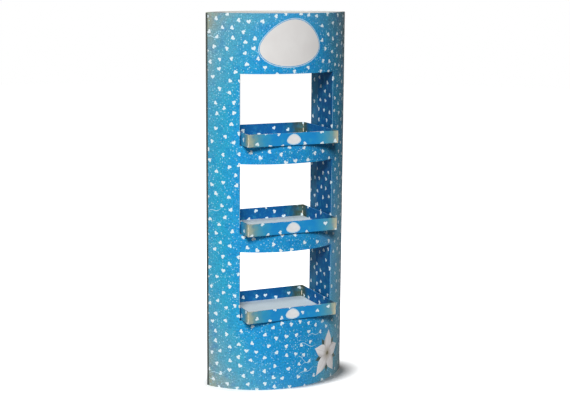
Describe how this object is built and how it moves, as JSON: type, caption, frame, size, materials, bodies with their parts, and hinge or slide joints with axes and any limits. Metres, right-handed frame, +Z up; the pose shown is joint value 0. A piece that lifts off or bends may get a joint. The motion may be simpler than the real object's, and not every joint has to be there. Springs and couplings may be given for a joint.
{
  "type": "cardboard display stand",
  "caption": "Two-sided floor display of printed board: a lens-shaped column with windows, and shallow trays that pass through the windows to hold goods.",
  "frame": {"origin": "on the floor, at the middle of the plan", "axes": "+Z up, front towards -Y, +X to the right as seen from the front"},
  "size_m": [0.6016, 0.336, 1.5],
  "materials": {
    "printed_board": "satin",
    "tray_board": "satin",
    "plain_board": "matte",
    "seam_tape": "matte"
  },
  "bodies": {
    "root": {"front_sheet": "printed_board", "back_sheet": "printed_board", "tray_top": "tray_board", "tray_middle": "tray_board", "tray_bottom": "tray_board", "top_panel": "plain_board", "base_panel": "plain_board", "seam_tape_left": "seam_tape", "seam_tape_right": "seam_tape"}
  },
  "joints": []
}
